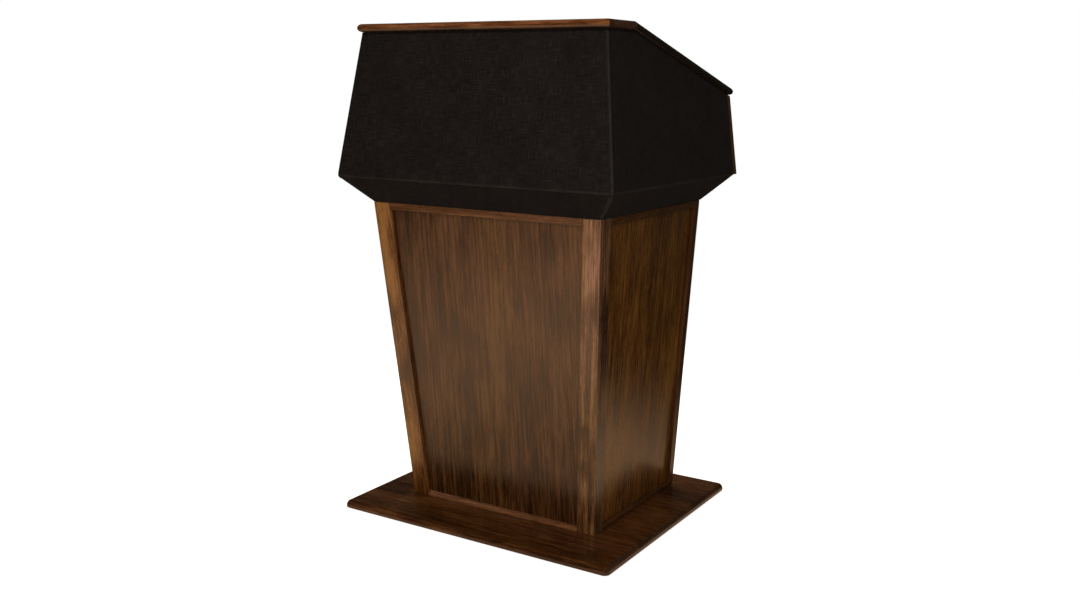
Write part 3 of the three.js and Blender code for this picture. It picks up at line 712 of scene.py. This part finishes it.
def finish_hardware():
    plastic, plated = nylon("nylon"), zinc_steel("zinc_steel")
    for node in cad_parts:
        if node.startswith("glide_"):
            paint(node, plastic)
            ease_edges(node, NYLON_EDGE, SMALL_SEGMENTS)
        elif node.startswith(("base_screw_", "shelf_pin_")):
            paint(node, plated)
            ease_edges(node, STEEL_EDGE, SMALL_SEGMENTS)


# Cloth over the hood: one sheet that wraps round the walls and folds over the crease onto the bevels

CORNER = 6 * MM
FOLD = 2.2 * MM
HEM_GAP = 2.4 * MM
PLEAT = 6 * MM
THICKNESS = 0.9 * MM
UNDER_TOP_GAP = 0.1 * MM
HEM_TUCKS = (1.1 * MM, 0.4 * MM)
CORNER_TUCK = 0.7
FLAP_LIFT = 0.6

# Waves of the stretched cloth: height, cells to the metre, and a shift that keeps the two apart
BROAD_WAVE, BROAD_CELLS = 0.55 * MM, (9, 9, 11)
SMALL_WAVE, SMALL_CELLS, SMALL_SHIFT = 0.16 * MM, (42, 42, 30), 7

# Stations of the sheet, crowded towards the crease. The extra ones near its edges keep folds and the
# painted shade under the top narrow.
ARC_STEPS = 6
SIDE_STEPS, FRONT_STEPS, RIM_STATION = 44, 52, 0.011
BEVEL_STEPS, BEVEL_CROWDING = 14, 1.6
WALL_STEPS, WALL_CROWDING = 26, 1.7
HEM_ROWS = [0.0, 0.008, 0.02]
TOP_ROWS = [0.98, 0.987, 1.0]

# How strong the painted highlight is along the cloth's folds, crease, corners and mitres
CREASE_HIGHLIGHT, CREASE_HIGHLIGHT_WIDTH = 0.7, 1.8 * MM
MITRE_HIGHLIGHT, BESIDE_MITRE_HIGHLIGHT, BESIDE_MITRE = 2.4, 1.2, 0.2
CORNER_HIGHLIGHT, CORNER_HIGHLIGHT_FLOOR = 0.85, -0.1
# Marks the top rows of the cloth, where shade under the top is painted
IN_SHADE = -1.0

SLOPE_PASSES = 4

OUTWARD = {"left": Vector((-1, 0, 0)), "right": Vector((1, 0, 0)), "front": Vector((0, -1, 0))}


def between(start, end, share):
    return start + (end - start) * share


def soft_kink(z, at_crease, upper_lean, lower_lean):
    """An outline that leans one way above the crease and another below it, with a rounded fold."""
    up = z - CREASE.z
    bend = math.hypot(up, FOLD)
    return at_crease - (upper_lean - lower_lean) / 2 * up - (upper_lean + lower_lean) / 2 * bend


WALL_HEIGHT = RIM.z - CREASE.z
BEVEL_HEIGHT = CREASE.z - NECK_Z
SIDE_LEANS = ((CREASE.x - RIM.x) / WALL_HEIGHT, (CREASE.x - NECK_SIDE_X) / BEVEL_HEIGHT)
FRONT_LEANS = ((RIM.y - CREASE.y) / WALL_HEIGHT, (NECK_FRONT_Y - CREASE.y) / BEVEL_HEIGHT)


def side_at(z):
    return soft_kink(z, CREASE.x, *SIDE_LEANS)


def front_at(z):
    return soft_kink(z, -CREASE.y, *FRONT_LEANS)


def back_at(z):
    if z > CREASE.z:
        return HOOD_BACK_Y
    return between(NECK_BACK_Y, HOOD_BACK_Y, (z - NECK_Z) / BEVEL_HEIGHT)


def corner_margin(z):
    """How far the flat faces stop short of the corner: a round corner above, a narrow mitre below."""
    down = max(0.0, CREASE.z - z)
    return HEM_GAP + (CORNER - HEM_GAP) * max(0.0, 1 - down / PLEAT)


def under_top(y):
    """The height of the top's underside at y."""
    return RIM.z - UNDER_TOP_GAP - max(0.0, y - BEND.y) * SLOPE


def sheet_columns():
    """Stations round the hood, from the left back edge to the right back edge."""
    rim = RIM_STATION
    arc = [i / (ARC_STEPS + 1) for i in range(1, ARC_STEPS + 1)]
    side = [i / SIDE_STEPS for i in range(1, SIDE_STEPS + 1)]
    across = [2 * i / FRONT_STEPS - 1 for i in range(1, FRONT_STEPS)]
    stations = {
        "left": [1 - i / SIDE_STEPS for i in range(SIDE_STEPS)] + [rim, 0],
        "left_arc": arc,
        "front": [-1, rim - 1] + across + [1 - rim, 1],
        "right_arc": [1 - share for share in arc],
        "right": [0, rim] + side,
    }
    return [(part, along) for part, places in stations.items() for along in places]


def sheet_rows():
    """Heights as (stretch, share): up the bevel, then from the crease to the top."""
    above_hem = [1 - (1 - i / BEVEL_STEPS) ** BEVEL_CROWDING for i in range(1, BEVEL_STEPS + 1)]
    bevel = [between(HEM_ROWS[-1], 1, share) for share in above_hem]
    wall = [(i / WALL_STEPS) ** WALL_CROWDING for i in range(1, WALL_STEPS)]
    return ([("bevel", share) for share in HEM_ROWS + bevel]
            + [("wall", share) for share in wall + TOP_ROWS])


def sheet_height(column, row):
    """The height of one point of the sheet. On the sides the wall's top follows the slope.

    Where a station meets the slope depends on how high it gets there, so that takes a few passes.
    """
    part, along = column
    stretch, share = row
    if stretch == "bevel":
        return NECK_Z + BEVEL_HEIGHT * share
    top = RIM.z - UNDER_TOP_GAP
    if part in ("left", "right"):
        y = between(CORNER - front_at(CREASE.z), HOOD_BACK_Y, along)
        for _ in range(SLOPE_PASSES):
            top = under_top(y)
            y = between(CORNER - front_at(top), HOOD_BACK_Y, along)
    return CREASE.z + (top - CREASE.z) * share


def sheet_point(column, row):
    """One point of the sheet before its small waves are added, and whether the mitre splits it."""
    part, along = column
    z = sheet_height(column, row)
    split = CREASE.z - z > PLEAT
    side, front, margin = side_at(z), front_at(z), corner_margin(z)
    if part == "front":
        return Vector((along * (side - margin), -front, z)), split
    if part in ("left", "right"):
        y = between(margin - front, back_at(z), along)
        return Vector((side if part == "right" else -side, y, z)), split
    sign = 1 if part == "right_arc" else -1
    if split:
        return hem_point(sign, along, side, front, z), split
    turn = along * math.pi / 2
    x = side - margin + margin * math.sin(turn)
    y = margin - front - margin * math.cos(turn)
    return Vector((sign * x, y, z)), split


def hem_point(sign, along, side, front, z):
    """Below the pleat the corner's columns turn in, as the folded edges of the two flaps."""
    depth = 2 * min(along, 1 - along) * HEM_GAP
    lift = FLAP_LIFT * depth
    if along > 0.5:
        return Vector((sign * (side - HEM_GAP), depth - front, z + lift))
    return Vector((sign * (side - depth), HEM_GAP - front, z + lift))


def ripple(point, cells, shift):
    """Smooth noise between -1 and 1."""
    x, y, z = (place * count for place, count in zip(point, cells))
    return noise.noise(Vector((x + shift, y, z)))


def waves(point, outward, share):
    """Small waves of stretched cloth, which die out towards its held edges and the crease."""
    hold = math.sin(math.pi * min(1.0, max(0.0, share))) ** 0.5
    broad = ripple(point, BROAD_CELLS, 0)
    small = ripple(point, SMALL_CELLS, SMALL_SHIFT)
    return point + outward * (BROAD_WAVE * broad + SMALL_WAVE * small) * hold


def hem_tuck(column, point):
    """Which way the lowest edge of the cloth turns in under the bevel."""
    if column[0] in OUTWARD:
        return -OUTWARD[column[0]]
    return Vector((-math.copysign(CORNER_TUCK, point.x), CORNER_TUCK, 0))


def fold_light_and_shade(column, row, height):
    """Over 0 along the crease, corners and mitres, where a highlight is painted, and -1 under the
    top, where shade is painted.
    """
    part, along = column
    crease = CREASE_HIGHLIGHT * math.exp(-((height - CREASE.z) / CREASE_HIGHLIGHT_WIDTH) ** 2)
    if height < CREASE.z - PLEAT:
        at_mitre = abs(along) == 1 if part == "front" else along == 0
        beside = part.endswith("arc") and min(along, 1 - along) < BESIDE_MITRE
        return MITRE_HIGHLIGHT if at_mitre else BESIDE_MITRE_HIGHLIGHT * beside
    if row[0] == "wall" and row[1] >= TOP_ROWS[1]:
        return IN_SHADE
    if not part.endswith("arc"):
        return crease
    return max(crease, CORNER_HIGHLIGHT * (1 - abs(2 * along - 1)) + CORNER_HIGHLIGHT_FLOOR)


def add_points(shape, columns, rows):
    """Adds the sheet's points. Returns them and the cloth's run by row, and which are split."""
    grid, runs, torn = [], [], set()
    painted_light_layer = shape.verts.layers.float.new("fold")
    for r, row in enumerate(rows):
        line, run = [], [0.0]
        for c, column in enumerate(columns):
            point, split = sheet_point(column, row)
            if column[0] in OUTWARD:
                point = waves(point, OUTWARD[column[0]], row[1])
            if r < len(HEM_TUCKS):
                point = point + hem_tuck(column, point) * HEM_TUCKS[r]
            if line:
                run.append(run[-1] + (point - line[-1].co).length)
            line.append(shape.verts.new(point))
            line[-1][painted_light_layer] = fold_light_and_shade(column, row, point.z)
            if split:
                torn.add((r, c))
        grid.append(line)
        runs.append([u - run[-1] / 2 for u in run])
    return grid, runs, torn


def add_faces(shape, columns, grid, runs, torn):
    """Fills the grid, but not across the mitres, and maps it. Returns the cloth's run upwards."""
    centre = len(columns) // 2
    heights = [0.0]
    for low, high in zip(grid, grid[1:]):
        heights.append(heights[-1] + (high[centre].co - low[centre].co).length)
    half_arc = ARC_STEPS // 2
    slits = {c + half_arc - 1 for c, (part, _) in enumerate(columns)
             if part.endswith("arc") and not columns[c - 1][0].endswith("arc")}
    uv_layer = shape.loops.layers.uv.new("cloth")
    for r in range(len(grid) - 1):
        for c in range(len(columns) - 1):
            if c in slits and (r, c) in torn:
                continue
            corners = [(r, c), (r, c + 1), (r + 1, c + 1), (r + 1, c)]
            face = shape.faces.new([grid[i][j] for i, j in corners])
            face.smooth = True
            for loop, (i, j) in zip(face.loops, corners):
                loop[uv_layer].uv = (runs[i][j], heights[i])
    return heights


def make_hood_cloth(material):
    columns = sheet_columns()
    shape = bmesh.new()
    grid, runs, torn = add_points(shape, columns, sheet_rows())
    heights = add_faces(shape, columns, grid, runs, torn)
    mesh = bpy.data.meshes.new("hood_cloth")
    shape.to_mesh(mesh)
    shape.free()
    cloth = bpy.data.objects.new("hood_cloth", mesh)
    bpy.context.scene.collection.objects.link(cloth)
    solid = cloth.modifiers.new("thickness", "SOLIDIFY")
    solid.thickness = THICKNESS
    solid.offset = -1
    mesh.materials.append(material)
    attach(cloth, "lectern")
    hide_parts("cloth_hood", "cloth_bevel_front", "cloth_bevel_left", "cloth_bevel_right")


bpy.context.scene.view_settings.view_transform = "Standard"
make_camera()
make_world()
make_floor()
area_light("key", *KEY_LIGHT)
area_light("back", *BACK_LIGHT)
finish_walnut()
finish_plywood()
finish_hardware()
make_hood_cloth(black_cloth("black_cloth"))
